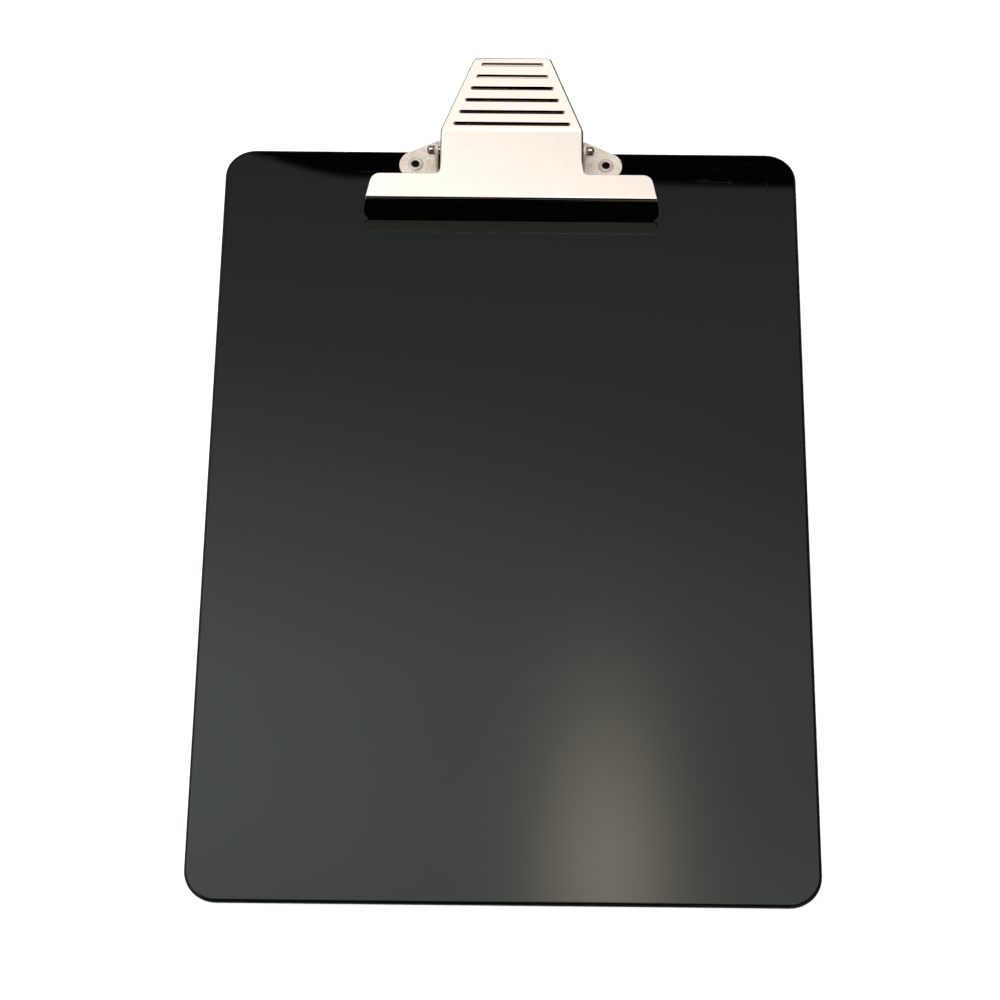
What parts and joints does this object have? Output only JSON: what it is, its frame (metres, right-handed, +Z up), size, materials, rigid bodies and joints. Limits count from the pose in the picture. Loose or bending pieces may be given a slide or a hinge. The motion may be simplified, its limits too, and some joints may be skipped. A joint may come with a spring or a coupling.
{
  "type": "clipboard",
  "caption": "Letter-size black plastic clipboard with a sprung steel lever clip: wide T-shaped jaw, tapering thumb handle with grip grooves, riveted base plate.",
  "frame": {"origin": "centre of the board's flat underside, on the surface it lies on", "axes": "+X across the board to the right, +Y along the board towards the clip, +Z up out of the writing face"},
  "size_m": [0.2286, 0.3455, 0.0288],
  "materials": {
    "board": "black moulded plastic, semi-gloss with a faint pebble",
    "base_plate": "satin plated steel, slightly mottled",
    "lever": "polished nickel-plated steel",
    "pin": "polished steel with domed heads",
    "spring": "drawn spring wire, lightly oiled",
    "rivet": "rolled tubular rivet, plated",
    "washer": "plain zinc-plated washer"
  },
  "bodies": {
    "base": {"board": "board", "clip_base_plate": "base_plate", "hinge_pin": "pin", "rivet_left": "rivet", "rivet_right": "rivet", "rivet_washer_left": "washer", "rivet_washer_right": "washer", "torsion_spring_left": "spring", "torsion_spring_right": "spring"},
    "lever": {"clip_lever": "lever"}
  },
  "joints": [
    {"name": "lever_hinge", "type": "hinge", "parent": "base", "child": "lever", "pos_m": [0, 0.154, 0.011], "axis": [-1, 0, 0], "range_deg": [0, 25], "stiffness_Nm_per_rad": 0.6, "springref_deg": -28.65, "deforming": ["torsion_spring_left", "torsion_spring_right"]}
  ]
}
